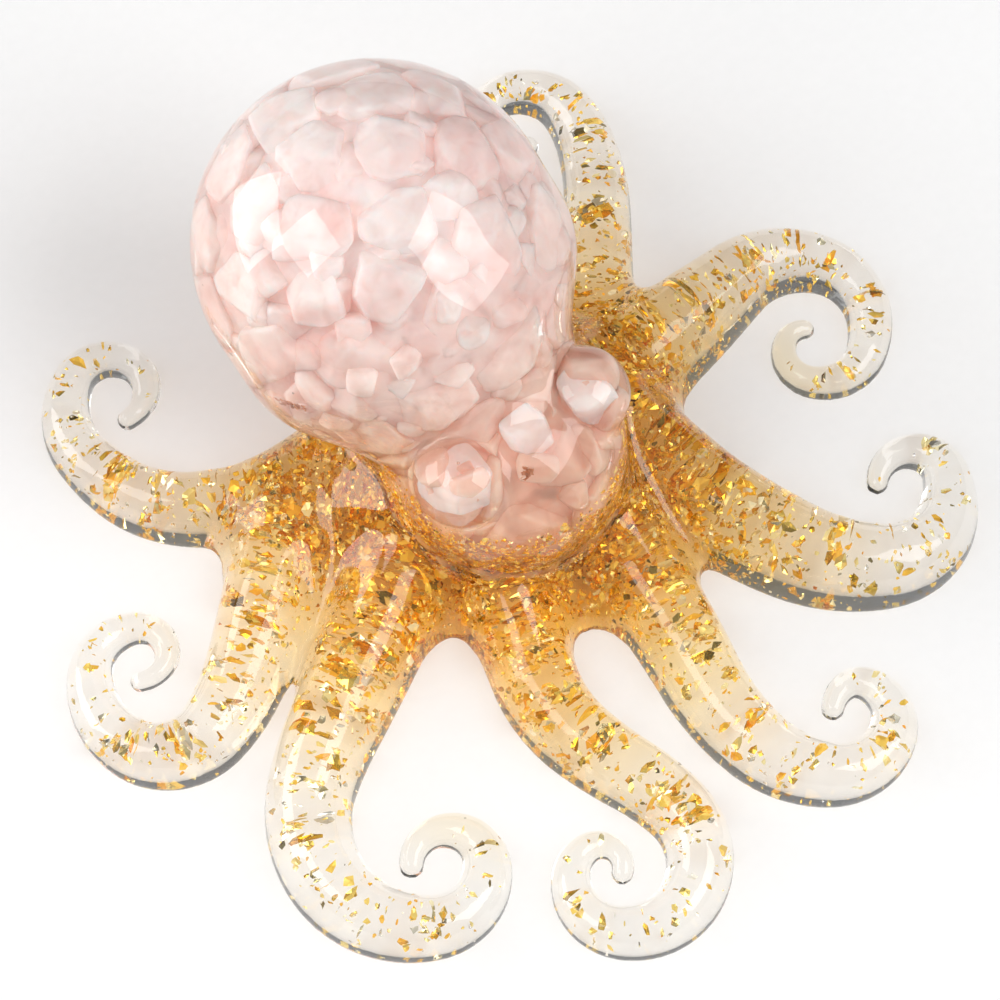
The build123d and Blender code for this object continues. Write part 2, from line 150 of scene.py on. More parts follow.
TAPER_PLACE_SHARES = (0.0, 0.20, 0.40, 0.60, 0.75, 0.88, 1.0)
SMOOTHING_SHARE = 0.06
RISE_SHARE = 0.78
ROOT_RISE = 6.0
ROOT_RISE_START = 12.0
ROOT_RISE_END = 30.0
LINE_STEP = 0.35

# How softly the resin's forms run into each other, and where the web's softness fades
HEAD_BLEND = 3.0
EYE_BLEND = 1.4
WEB_BLEND = 4.0
TIP_BLEND = 0.3
WEB_BLEND_END = 46.0
WEB_BLEND_FADE = 12.0
RIM_ROUND = 0.9

# The grid that the resin's surface is found on, and how many places are worked out at once
GRID_STEP = 0.5
GRID_MARGIN = 2
TABLE_MARGIN = 2.3
COLUMNS_AT_ONCE = 6000
PLACES_AT_ONCE = 20000
CAD_LOW, CAD_HIGH = np.array(cad_box[0]) / MM, np.array(cad_box[1]) / MM


# Middle lines

class Line:
    """A tentacle's middle line as close samples, with its half width and height at each."""

    def __init__(self, length, width, root_shares, heading, bend_shares, taper_shares):
        x, y = root_shares[0] * WEB_REACH, root_shares[1] * WEB_REACH
        heading = math.radians(heading)
        tip_half = width * taper_shares[-1] / 2
        places = []
        travelled = 0.0
        for share, turn in bend_shares:
            run = share * length
            steps = max(2, round(run / LINE_STEP))
            for _ in range(steps):
                step = run / steps
                bend = math.radians(turn) / steps
                places.append((x, y, heading, travelled))
                chord = step * float(np.sinc(bend / math.tau))
                x += chord * math.cos(heading + bend / 2)
                y += chord * math.sin(heading + bend / 2)
                heading += bend
                travelled += step
        places = np.array([place for place in places if place[3] <= length - tip_half])
        self.xy = places[:, :2]
        self.heading = places[:, 2]
        share = places[:, 3] / length
        nearby = [np.interp(share + shift, TAPER_PLACE_SHARES, taper_shares)
                  for shift in (-SMOOTHING_SHARE, 0, SMOOTHING_SHARE)]
        full = width * np.mean(nearby, axis=0)
        self.half = full / 2
        from_hub = np.hypot(self.xy[:, 0] - WEB_CENTRE[0], self.xy[:, 1] - WEB_CENTRE[1])
        climb = np.clip((ROOT_RISE_END - from_hub) / (ROOT_RISE_END - ROOT_RISE_START), 0, 1)
        self.height = full * RISE_SHARE + ROOT_RISE * climb ** 2
        reach = self.half.max() + 2 * WEB_BLEND
        self.low = self.xy.min(0) - reach
        self.high = self.xy.max(0) + reach

    def covers(self, x, y):
        """Whether each place is near enough for the tentacle to matter there."""
        return (x > self.low[0]) & (x < self.high[0]) & (y > self.low[1]) & (y < self.high[1])

    def nearest(self, x, y):
        """Distance from the line, half width and height there, for flat arrays of points."""
        distance = np.empty_like(x)
        half = np.empty_like(x)
        height = np.empty_like(x)
        for start in range(0, len(x), PLACES_AT_ONCE):
            part = slice(start, start + PLACES_AT_ONCE)
            point = np.stack([x[part], y[part]], -1)
            apart = np.hypot(point[:, 0:1] - self.xy[:, 0], point[:, 1:2] - self.xy[:, 1])
            closest = np.argmin(apart - self.half, axis=1)
            best = np.full(len(point), np.inf)
            for first in (closest - 1, closest):
                one = np.clip(first, 0, len(self.xy) - 2)
                way = self.xy[one + 1] - self.xy[one]
                share = ((point - self.xy[one]) * way).sum(1) / (way ** 2).sum(1)
                share = np.clip(share, 0, 1)
                gap = np.hypot(*(point - self.xy[one] - way * share[:, None]).T)
                closer = gap < best
                best[closer] = gap[closer]
                here = self.half[one] + (self.half[one + 1] - self.half[one]) * share
                there = self.height[one] + (self.height[one + 1] - self.height[one]) * share
                half[part][closer] = here[closer]
                height[part][closer] = there[closer]
            distance[part] = best
        return distance, half, height


LINES = {name: Line(*values) for name, values in TENTACLES.items()}


# Field of the resin: negative inside

def soft_min(a, b, blend):
    """The lesser of two distances, rounded where they are nearly alike."""
    near = np.maximum(blend - np.abs(a - b), 0) / blend
    return np.minimum(a, b) - near ** 2 * blend / 4


def soft_max(a, b, blend):
    """The greater of two distances, rounded where they are nearly alike."""
    return -soft_min(-a, -b, blend)


def neck_curve():
    """Coefficients of the head's radius between the mantle's and the face's centres."""
    shoulder, waist = HEAD_LENGTH * SHOULDER_SHARE, HEAD_LENGTH * WAIST_SHARE
    powers = np.arange(7)

    def row(place, order):
        factor = np.ones(7)
        for step in range(order):
            factor = factor * np.maximum(powers - step, 0)
        return factor * np.where(powers >= order, float(place) ** np.maximum(powers - order, 0), 0)

    rows = [row(0, 0), row(0, 1), row(0, 2), row(shoulder, 0), row(waist, 0)]
    rows += [row(HEAD_LENGTH, 0), row(HEAD_LENGTH, 1)]
    shoulder_radius = MANTLE_RADIUS * SHOULDER_RADIUS_SHARE
    values = [MANTLE_RADIUS, 0, -1 / MANTLE_RADIUS, shoulder_radius, WAIST_RADIUS, FACE_RADIUS, 0]
    return np.linalg.solve(np.array(rows), np.array(values))


NECK = np.polynomial.Polynomial(neck_curve())


def head_field(x, y, z):
    """Mantle, neck and face about the leaning axis, and the eye domes."""
    dx, dy, dz = x - MANTLE_CENTRE[0], y - MANTLE_CENTRE[1], z - MANTLE_CENTRE[2]
    along = dx * HEAD_DIRECTION[0] + dy * HEAD_DIRECTION[1] + dz * HEAD_DIRECTION[2]
    from_mantle = dx ** 2 + dy ** 2 + dz ** 2
    radial = np.sqrt(np.maximum(from_mantle - along ** 2, 0))
    inner = np.clip(along, 0, HEAD_LENGTH)
    neck = (radial - NECK(inner)) / np.sqrt(1 + NECK.deriv()(inner) ** 2)
    face = np.hypot(radial, along - HEAD_LENGTH) - FACE_RADIUS
    mantle = np.sqrt(from_mantle) - MANTLE_RADIUS
    head = np.where(along < 0, mantle, np.where(along > HEAD_LENGTH, face, neck))
    for centre in EYE_CENTRES:
        eye = np.sqrt((x - centre[0]) ** 2 + (y - centre[1]) ** 2 + (z - centre[2]) ** 2) - EYE_RADIUS
        head = soft_min(head, eye, EYE_BLEND)
    return head


def periodic_spline(angles, values):
    """Second derivatives of a closed cubic spline through the values."""
    count = len(angles)
    gaps = np.diff(np.append(angles, angles[0] + math.tau))
    slopes = np.diff(np.append(values, values[0])) / gaps
    matrix = np.zeros((count, count))
    right = np.zeros(count)
    for index in range(count):
        before = (index - 1) % count
        matrix[index, before] += gaps[before]
        matrix[index, index] += 2 * (gaps[before] + gaps[index])
        matrix[index, (index + 1) % count] += gaps[index]
        right[index] = 6 * (slopes[index] - slopes[before])
    return np.linalg.solve(matrix, right)


def web_outline(count=1441):
    """The web's reach from its centre at each angle, through the notches."""
    notches = np.array(WEB_NOTCH_SHARES) * WEB_REACH - np.array(WEB_CENTRE)
    angles = np.arctan2(notches[:, 1], notches[:, 0])
    order = np.argsort(angles)
    angles = angles[order]
    reach = np.hypot(*notches[order].T)
    bends = periodic_spline(angles, reach)
    samples = np.linspace(-math.pi, math.pi, count)
    lifted = np.where(samples < angles[0], samples + math.tau, samples)
    first = np.searchsorted(angles, lifted, side="right") - 1
    after = (first + 1) % len(angles)
    gap = np.append(np.diff(angles), angles[0] + math.tau - angles[-1])[first]
    share = (lifted - angles[first]) / gap
    rest = 1 - share
    curve = rest * reach[first] + share * reach[after]
    curve += ((rest ** 3 - rest) * bends[first] + (share ** 3 - share) * bends[after]) * gap ** 2 / 6
    return samples, curve


WEB_ANGLES, WEB_REACHES = web_outline()


def web_field(x, y, z):
    """The web: a low outline that sweeps up to the face."""
    dx, dy = x - WEB_CENTRE[0], y - WEB_CENTRE[1]
    outline = np.interp(np.arctan2(dy, dx), WEB_ANGLES, WEB_REACHES)
    size = np.hypot(dx, dy) / outline
    sizes, heights = np.array(WEB_FLANK_SHARES).T
    shifts = np.linspace(-WEB_EASE_SHARE, WEB_EASE_SHARE, 9)
    nearby = [np.interp(size + shift, sizes, heights) for shift in shifts]
    top = WEB_HEIGHT * np.mean(nearby, axis=0)
    slope = WEB_HEIGHT * (nearby[-1] - nearby[0]) / (2 * WEB_EASE_SHARE) / outline
    return (z - top) / np.sqrt(1 + slope ** 2)


def arm_field(distance, half, height, z):
    """A tentacle's D section, from its half width and its height."""
    length = np.sqrt((distance / half) ** 2 + (z / height) ** 2)
    steepness = np.sqrt((distance / half ** 2) ** 2 + (z / height ** 2) ** 2)
    return length * (length - 1) / np.maximum(steepness, 1e-6)


def skirt_field(x, y, z):
    """The web and the tentacles. The places are flat arrays, or columns x and y with a row z of heights."""
    shape = web_field(x, y, z)
    from_hub = np.hypot(x - WEB_CENTRE[0], y - WEB_CENTRE[1])
    blend = TIP_BLEND + WEB_BLEND * np.clip((WEB_BLEND_END - from_hub) / WEB_BLEND_FADE, 0, 1)
    z = np.broadcast_to(z, shape.shape)
    for line in LINES.values():
        near = line.covers(x, y).ravel()
        if near.any():
            nearest = line.nearest(x[near].ravel(), y[near].ravel())
            distance, half, height = (value.reshape(x[near].shape) for value in nearest)
            shape[near] = soft_min(shape[near], arm_field(distance, half, height, z[near]), blend[near])
    return shape


def resin_field(x, y, z):
    """The whole casting, flat on the table."""
    whole = soft_min(skirt_field(x, y, z), head_field(x, y, z), HEAD_BLEND)
    return soft_max(whole, -z, RIM_ROUND)


# Surface of the resin

def surface_net(field, origin, step):
    """A mesh of quads on the field's zero surface, one vertex in each cell that it crosses."""
    inside = field < 0
    cells = tuple(size - 1 for size in field.shape)
    corners = [(i, j, k) for i in (0, 1) for j in (0, 1) for k in (0, 1)]

    def corner(values, offset):
        return values[tuple(slice(o, o + n) for o, n in zip(offset, cells))]

    count = sum(corner(inside, offset).astype(np.int8) for offset in corners)
    crossing = (count > 0) & (count < 8)
    number = np.full(cells, -1, np.int64)
    number[crossing] = np.arange(int(crossing.sum()))
    base = np.argwhere(crossing)
    total = np.zeros((len(base), 3))
    weight = np.zeros(len(base))
    for offset in corners:
        for axis in range(3):
            if offset[axis]:
                continue
            other = tuple(o + (1 if a == axis else 0) for a, o in enumerate(offset))
            one = corner(field, offset)[crossing]
            two = corner(field, other)[crossing]
            crossed = (one < 0) != (two < 0)
            share = np.where(crossed, one / np.where(crossed, one - two, 1), 0)
            place = (base + np.array(offset)).astype(float)
            place[:, axis] += share
            total += place * crossed[:, None]
            weight += crossed
    points = total / weight[:, None] * step + origin
    faces = []
    for axis in range(3):
        one, two = (axis + 1) % 3, (axis + 2) % 3
        low = [slice(None)] * 3
        high = [slice(None)] * 3
        low[axis], high[axis] = slice(0, -1), slice(1, None)
        for other in (one, two):
            low[other] = high[other] = slice(1, -1)
        before, after = inside[tuple(low)], inside[tuple(high)]
        for outward, mask in ((True, before & ~after), (False, after & ~before)):
            place = np.argwhere(mask)
            place[:, one] += 1
            place[:, two] += 1
            quad = []
            for a, b in ((0, 0), (1, 0), (1, 1), (0, 1)):
                cell = place.copy()
                cell[:, one] -= a
                cell[:, two] -= b
                quad.append(number[tuple(cell.T)])
            quad = np.stack(quad, -1)
            faces.append(quad if outward else quad[:, ::-1])
    return points, np.concatenate(faces)


def resin_surface(rounds=3, least_slope=0.25):
    """The casting's surface: found on a grid, then moved onto the field and evened."""
    low = CAD_LOW - GRID_MARGIN * GRID_STEP
    high = CAD_HIGH + GRID_MARGIN * GRID_STEP
    low[2] = -TABLE_MARGIN * GRID_STEP
    axes = [np.arange(low[a], high[a], GRID_STEP) for a in range(3)]
    field = np.empty([len(axis) for axis in axes], np.float32)
    x, y = [grid.reshape(-1, 1) for grid in np.meshgrid(axes[0], axes[1], indexing="ij")]
    columns = field.reshape(-1, len(axes[2]))
    for start in range(0, len(x), COLUMNS_AT_ONCE):
        part = slice(start, start + COLUMNS_AT_ONCE)
        columns[part] = resin_field(x[part], y[part], axes[2][None, :])
    points, faces = surface_net(field, low, GRID_STEP)
    slopes = np.stack(np.gradient(field, GRID_STEP), -1)
    cell = np.clip(np.round((points - low) / GRID_STEP).astype(int), 0, np.array(field.shape) - 1)
    slope = slopes[tuple(cell.T)].astype(float)
    slope /= np.maximum((slope ** 2).sum(1, keepdims=True), least_slope)
    for _ in range(rounds):
        value = resin_field(*points.T)
        points -= np.clip(value, -GRID_STEP / 2, GRID_STEP / 2)[:, None] * slope
    return np.clip(evened(points, faces), CAD_LOW, CAD_HIGH), faces


def evened(points, faces, rounds=8, pushes=(0.5, -0.52)):
    """Smooths out ripples of the mesh without shrinking it."""
    one = faces.ravel()
    two = np.roll(faces, -1, axis=1).ravel()
    ends, others = np.concatenate([one, two]), np.concatenate([two, one])
    count = np.bincount(ends, minlength=len(points))
    for push in pushes * rounds:
        total = [np.bincount(ends, points[others, axis], len(points)) for axis in range(3)]
        middle = np.stack(total, -1) / count[:, None]
        points = points + push * (middle - points)
    return points


# Meshes

def mesh_object(name, points, *face_groups, smooth=True):
    """A mesh object from points in millimetres and groups of faces, one for each number of corners."""
    loops = np.concatenate([faces.ravel() for faces in face_groups]).astype(np.int32)
    corners = np.concatenate([np.full(len(faces), faces.shape[1]) for faces in face_groups])
    mesh = bpy.data.meshes.new(name)
    mesh.vertices.add(len(points))
    mesh.vertices.foreach_set("co", (np.asarray(points) * MM).astype(np.float32).ravel())
    mesh.loops.add(len(loops))
    mesh.loops.foreach_set("vertex_index", loops)
    mesh.polygons.add(len(corners))
    mesh.polygons.foreach_set("loop_start", (np.cumsum(corners) - corners).astype(np.int32))
    mesh.polygons.foreach_set("use_smooth", np.full(len(corners), smooth))
    mesh.update(calc_edges=True)
    mesh.validate()
    made = bpy.data.objects.new(name, mesh)
    bpy.context.scene.collection.objects.link(made)
    return made


def icosphere(levels):
    """Unit directions and triangles of a sphere cut finer the given number of times."""
    golden = (1 + math.sqrt(5)) / 2
    points = [np.array(p, float) for p in (
        (-1, golden, 0), (1, golden, 0), (-1, -golden, 0), (1, -golden, 0),
        (0, -1, golden), (0, 1, golden), (0, -1, -golden), (0, 1, -golden),
        (golden, 0, -1), (golden, 0, 1), (-golden, 0, -1), (-golden, 0, 1))]
    points = [p / np.linalg.norm(p) for p in points]
    faces = [(0, 11, 5), (0, 5, 1), (0, 1, 7), (0, 7, 10), (0, 10, 11), (1, 5, 9), (5, 11, 4),
             (11, 10, 2), (10, 7, 6), (7, 1, 8), (3, 9, 4), (3, 4, 2), (3, 2, 6), (3, 6, 8),
             (3, 8, 9), (4, 9, 5), (2, 4, 11), (6, 2, 10), (8, 6, 7), (9, 8, 1)]
    for _ in range(levels):
        middles = {}
        finer = []
        for a, b, c in faces:
            trio = []
            for one, two in ((a, b), (b, c), (c, a)):
                key = (min(one, two), max(one, two))
                if key not in middles:
                    middle = points[one] + points[two]
                    middles[key] = len(points)
                    points.append(middle / np.linalg.norm(middle))
                trio.append(middles[key])
            finer += [(a, trio[0], trio[2]), (b, trio[1], trio[0]), (c, trio[2], trio[1]), tuple(trio)]
        faces = finer
    return np.array(points), np.array(faces)


# Chips

CHIP_LEVELS = 4
CHIP_ROUNDING = 34
FACET_COUNT = 9
FACET_DEPTHS = (0.83, 1.05)
CHIP_NOISE = 0.03
CHIP_WAVES = ((0.55, 1.0), (0.55, 1.0), (1.1, 0.6), (1.1, 0.6), (2.3, 0.25), (2.3, 0.25))
WAVE_SINK = 1.5
CHIP_NODES = [node for node in sorted(frame["nodes"]) if node.endswith("_chips") or node.endswith("_chip")]


def solids_of(node, sliver=1e-4):
    """Each solid of a CAD node as (inner point, unit normals, offsets) of its flat faces."""
    mesh = frame["nodes"][node].data
    points = np.array([v.co for v in mesh.vertices], float) / MM
    mesh.calc_loop_triangles()
    triangles = np.array([t.vertices for t in mesh.loop_triangles])
    _, weld = np.unique(np.round(points, 3), axis=0, return_inverse=True)
    weld = weld.ravel()
    owner = np.arange(weld.max() + 1)

    def root(index):
        while owner[index] != index:
            owner[index] = owner[owner[index]]
            index = owner[index]
        return index

    for a, b, c in weld[triangles]:
        ra, rb, rc = root(a), root(b), root(c)
        owner[rb] = ra
        owner[rc] = ra
    labels = np.array([root(weld[t[0]]) for t in triangles])
    solids = []
    for label in np.unique(labels):
        own = triangles[labels == label]
        corners = points[own]
        normals = np.cross(corners[:, 1] - corners[:, 0], corners[:, 2] - corners[:, 0])
        size = np.linalg.norm(normals, axis=1)
        keep = size > sliver
        corners, normals = corners[keep], normals[keep] / size[keep, None]
        centre = points[np.unique(own)].mean(0)
        offsets = ((corners[:, 0] - centre) * normals).sum(1)
        _, first = np.unique(np.round(np.column_stack([normals, offsets]), 2), axis=0, return_index=True)
        solids.append((centre, normals[first], offsets[first]))
    return solids


def wave_noise(points, waves):
    """Smooth noise as a sum of plane waves."""
    return sum(np.sin(points @ way + phase) * size for way, phase, size in waves)


def chip_waves(dice):
    """Plane waves for one stone as (way, phase, size)."""
    waves = []
    for scale, size in CHIP_WAVES:
        way = np.array([dice.gauss(0, 1) for _ in range(3)])
        waves.append((way / np.linalg.norm(way) * scale, dice.uniform(0, math.tau), size))
    return waves


SPHERE_POINTS, SPHERE_FACES = icosphere(CHIP_LEVELS)


def chip_object(node):
    """Tumbled stones in the place of a CAD node's chips: rounded from their flat faces."""
    dice = random.Random(node)
    points = []
    faces = []
    for centre, normals, offsets in solids_of(node):
        flats = np.array([[dice.gauss(0, 1) for _ in range(3)] for _ in range(FACET_COUNT)])
        flats /= np.linalg.norm(flats, axis=1)[:, None]
        reach = 1 / (np.maximum(flats @ normals.T, 0) / offsets).max(1)
        depths = reach * np.array([dice.uniform(*FACET_DEPTHS) for _ in range(FACET_COUNT)])
        toward = np.maximum(SPHERE_POINTS @ np.concatenate([normals, flats]).T, 0)
        toward /= np.concatenate([offsets, depths])
        radius = 1 / (toward ** CHIP_ROUNDING).sum(1) ** (1 / CHIP_ROUNDING)
        waves = wave_noise(SPHERE_POINTS * radius[:, None], chip_waves(dice))
        radius *= 1 + CHIP_NOISE * (waves - WAVE_SINK) / 2
        faces.append(SPHERE_FACES + len(SPHERE_POINTS) * len(points))
        points.append(centre + SPHERE_POINTS * radius[:, None])
    made = mesh_object("stones_" + node, np.concatenate(points), np.concatenate(faces))
    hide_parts(node)
    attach(made, "root")
    return made


# Small stones between the large ones: sizes, cover, and shares of their size that shape and place them
GAP_LEVELS = 3
GAP_TRIES = 26000
GAP_SIZES = (1.8, 3.3)
GAP_COVER = 1.6
GAP_DEEPEST = 7.0
GAP_COVER_SHARE = 0.9
GAP_SPACING_SHARE = 0.75
GAP_OVERLAP_SHARE = 0.45
GAP_SIDES = 8
GAP_SIDE_SHARES = (0.6, 1.0)
GAP_LIMIT_SHARE = 1.2
GAP_ROUNDING = 28
GAP_STONES = 260

# The lowest part of the face, inside the skirt, where such stones may reach past the head's form
CHIN_TOP = 15.0
CHIN_BACK = -8.0
CHIN_COVER = 0.5
CHIN_DEPTH_SHARE = 0.1


def gap_stones():
    """Small stones in the gaps between the large ones."""
    dice = np.random.default_rng(21)
    solids = [solid for node in CHIP_NODES for solid in solids_of(node)]
    low = np.minimum(MANTLE_CENTRE - MANTLE_RADIUS, FACE_CENTRE - FACE_RADIUS)
    high = MANTLE_CENTRE + MANTLE_RADIUS
    places = dice.uniform(low, high, (GAP_TRIES, 3))
    sizes = dice.uniform(*GAP_SIZES, GAP_TRIES)
    depth = -head_field(*places.T)
    in_chin = (places[:, 2] < CHIN_TOP) & (places[:, 1] < CHIN_BACK)
    in_chin &= -resin_field(*places.T) > sizes + CHIN_COVER
    least = np.where(in_chin, CHIN_DEPTH_SHARE * sizes, GAP_COVER_SHARE * sizes + GAP_COVER)
    keep = (depth > least) & (depth < GAP_DEEPEST)
    places, sizes = places[keep], sizes[keep]
    into = np.full(len(places), -np.inf)
    for centre, normals, offsets in solids:
        into = np.maximum(into, (offsets - (places - centre) @ normals.T).min(1))
    keep = into < sizes * GAP_OVERLAP_SHARE
    chosen = []
    for place, size in zip(places[keep], sizes[keep]):
        if all(np.linalg.norm(place - other) > GAP_SPACING_SHARE * (size + its) for other, its in chosen):
            chosen.append((place, size))
        if len(chosen) == GAP_STONES:
            break
    directions, triangles = icosphere(GAP_LEVELS)
    points = []
    faces = []
    for place, size in chosen:
        ways = dice.normal(0, 1, (GAP_SIDES, 3))
        ways /= np.linalg.norm(ways, axis=1)[:, None]
        offsets = size * dice.uniform(*GAP_SIDE_SHARES, GAP_SIDES)
        toward = np.maximum(directions @ ways.T, 0) / offsets
        limit = (1 / (GAP_LIMIT_SHARE * size)) ** GAP_ROUNDING
        radius = 1 / ((toward ** GAP_ROUNDING).sum(1) + limit) ** (1 / GAP_ROUNDING)
        faces.append(triangles + len(directions) * len(points))
        points.append(place + directions * radius[:, None])
    made = mesh_object("stones_between", np.concatenate(points), np.concatenate(faces))
    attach(made, "root")
    return made


CORE_DEPTH = 3.6
CORE_STEP = 1.2


def core_fill():
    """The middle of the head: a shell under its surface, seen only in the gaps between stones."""
    low = np.minimum(MANTLE_CENTRE - MANTLE_RADIUS, FACE_CENTRE - FACE_RADIUS)
    high = np.maximum(MANTLE_CENTRE + MANTLE_RADIUS, FACE_CENTRE + FACE_RADIUS)
    axes = [np.arange(low[a], high[a], CORE_STEP) for a in range(3)]
    field = head_field(*np.meshgrid(*axes, indexing="ij")) + CORE_DEPTH
    points, faces = surface_net(field, low, CORE_STEP)
    made = mesh_object("stones_core_fill", points, faces)
    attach(made, "root")
    return made


# Iron stains on the stones: the ball they lie on, middle, long way, half sizes and number of flecks
STAINS = (
    (MANTLE_CENTRE, (-21.0, 5.9, 33.5), (1.86, -5.05, 2.74), (1.9, 0.45, 0.12), 75),
    (FACE_CENTRE, (-3.2, -18.3, 29.3), (1.0, 0.3, 0.2), (0.6, 0.45, 0.25), 32),
)
FLECK_SIZES = (0.25, 0.6)
FLECK_SPREAD_SHARE = 0.6
FLECK_LIMIT_SHARE = 1.5


def iron_stains():
    """Two rusty marks, each of many small flecks."""
    dice = np.random.default_rng(5)
    places = []
    for centre, middle, long_way, sizes, count in STAINS:
        along = np.array(long_way) / np.linalg.norm(long_way)
        out = np.array(middle) - centre
        out = out - along * (out @ along)
        out /= np.linalg.norm(out)
        shares = dice.normal(0, FLECK_SPREAD_SHARE, (count, 3))
        shares = np.clip(shares, -FLECK_LIMIT_SHARE, FLECK_LIMIT_SHARE)
        places.append(middle + shares * sizes @ np.array([along, np.cross(along, out), out]))
    places = np.concatenate(places)
    points, faces = flake_shapes(places, dice.uniform(*FLECK_SIZES, len(places)), dice)
    made = mesh_object("stones_iron_stains", points, faces, smooth=False)
    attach(made, "root")
    return made


# Bubbles: number, radii, cover, how deep they lie in the head, and places tried for each
BUBBLES = 140
BUBBLE_SIZES = (0.07, 0.24)
BUBBLE_COVER = 0.25
BUBBLE_HEAD_DEPTH = 1.2
BUBBLE_TRIES = 200


def bubbles():
    """Tiny round hollows in the resin, as points and faces that look inwards."""
    dice = np.random.default_rng(12)
    places = dice.uniform(CAD_LOW, CAD_HIGH, (BUBBLES * BUBBLE_TRIES, 3))
    sizes = dice.uniform(*BUBBLE_SIZES, len(places))
    depth = -resin_field(*places.T)
    keep = (depth > sizes + BUBBLE_COVER) & ((head_field(*places.T) > 0) | (depth < BUBBLE_HEAD_DEPTH))
    places, sizes = places[keep][:BUBBLES], sizes[keep][:BUBBLES]
    directions, triangles = icosphere(2)
    points = [place + directions * size for place, size in zip(places, sizes)]
    faces = [triangles[:, ::-1] + len(directions) * index for index in range(len(points))]
    return np.concatenate(points), np.concatenate(faces)


# Foil: the flakes' sizes, cover and half thickness, and the shares that crumple them
FLAKE_MEDIAN = 0.48
FLAKE_SPREAD = 0.5
FLAKE_LIMITS = (0.15, 1.9)
LEAF_SIZES = (0.5, 1.35)
FLAKE_COVER = 0.35
FLAKE_HEAD_SHARE = 0.5
FLAKE_HALF = 0.02
FLAKE_CORNERS = (5, 8)
CORNER_SHIFT_SHARE = 0.35
CORNER_REACH_SHARES = (0.45, 1.0)
STRETCH_SHARES = (0.35, 1.0)
LIFT_SHARE = 0.16
FOLD_SHARE = 0.12
FLAKE_LEAN = 0.75

# Where flakes lie: along a tentacle, round the face in the skirt, and under the skin of the chin
ARM_START_SHARE = 0.1
ARM_HEIGHT_SHARES = (0.05, 0.9)
ARM_ASIDE_SHARE = 0.9
ARM_THINNING = 1.8
HUB_REACH = 48.0
HUB_CROWDING = 0.6
HUB_END = 47.0
HUB_FADE = 23.0
HUB_THINNING = 2.2
HUB_LOWEST = 0.3
HUB_HIGHEST = 15.0
HUB_LOW_HIGHEST = 3.0
HUB_INNER_SHARE = 0.02
CHIN_DEPTHS = (0.5, 1.5)
CHIN_EDGE = 22.3
CHIN_FADE = 2.5
CHIN_END = 2.0
CHIN_SIZE_SHARE = 0.8

# Clusters: flakes in each, how far they lie from its middle, and how flat it is along x, y and z
CLUSTER_FLAKES = 8
CLUSTER_SPREAD = 0.75
CLUSTER_SHARES = (1, 1, 0.5)

# How many loose flakes are tried and how many clusters, in the skirt, in each tentacle and at the chin
HUB_TRIES = 24000
HUB_LOW_TRIES = 7000
HUB_CLUSTERS = 1900
ARM_TRIES = 540
ARM_CLUSTERS = 30
CHIN_TRIES = 26000


def random_turn(dice):
    """A turn to any side, more often nearly level than on edge."""
    turn = dice.uniform(0, math.tau)
    lean = dice.normal(0, FLAKE_LEAN)
    way = dice.uniform(0, math.tau)
    spin = np.array([[math.cos(turn), -math.sin(turn), 0], [math.sin(turn), math.cos(turn), 0], [0, 0, 1]])
    axis = np.array([math.cos(way), math.sin(way), 0])
    cross = np.array([[0, -axis[2], axis[1]], [axis[2], 0, -axis[0]], [-axis[1], axis[0], 0]])
    tilt = np.eye(3) + math.sin(lean) * cross + (1 - math.cos(lean)) * cross @ cross
    return tilt @ spin


def flake_shapes(places, sizes, dice):
    """Thin crumpled flakes: a ring of uneven corners, with a raised middle on each side."""
    points = []
    faces = []
    start = 0
    for place, size in zip(places, sizes):
        corners = int(dice.integers(*FLAKE_CORNERS))
        shifts = dice.uniform(-CORNER_SHIFT_SHARE, CORNER_SHIFT_SHARE, corners)
        angles = (np.arange(corners) + shifts) * math.tau / corners
        reach = size * dice.uniform(*CORNER_REACH_SHARES, corners)
        stretch = dice.uniform(*STRETCH_SHARES)
        lift = dice.normal(0, LIFT_SHARE, corners) * size
        ring = np.stack([reach * np.cos(angles), reach * np.sin(angles) * stretch, lift], -1)
        fold = dice.normal(0, FOLD_SHARE) * size
        middle = np.array([[0, 0, fold + FLAKE_HALF], [0, 0, fold - FLAKE_HALF]])
        points.append(np.concatenate([ring, middle]) @ random_turn(dice).T + place)
        around = np.arange(corners)
        after = (around + 1) % corners
        top = np.stack([around, after, np.full(corners, corners)], -1)
        bottom = np.stack([after, around, np.full(corners, corners + 1)], -1)
        faces.append(np.concatenate([top, bottom]) + start)
        start += corners + 2
    return np.concatenate(points), np.concatenate(faces)


def foil_object(name, nodes, places, sizes, dice, in_head=False):
    """The flakes that lie wholly in the resin, and outside the head unless they may be in it."""
    keep = resin_field(*places.T) < -(FLAKE_COVER + sizes)
    if not in_head:
        keep &= head_field(*places.T) > sizes * FLAKE_HEAD_SHARE
    points, faces = flake_shapes(places[keep], sizes[keep], dice)
    made = mesh_object(name, points, faces, smooth=False)
    if nodes:
        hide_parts(*nodes)
    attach(made, "root")
    return made


def flake_sizes(count, dice):
    """Mostly small flakes and a few large ones."""
    return np.clip(dice.lognormal(math.log(FLAKE_MEDIAN), FLAKE_SPREAD, count), *FLAKE_LIMITS)


def clusters(middles, dice):
    """Places of crumpled leaf: several flakes close to each of the given middles."""
    shifts = dice.normal(0, CLUSTER_SPREAD, (len(middles), CLUSTER_FLAKES, 3)) * CLUSTER_SHARES
    return (middles[:, None] + shifts).reshape(-1, 3)


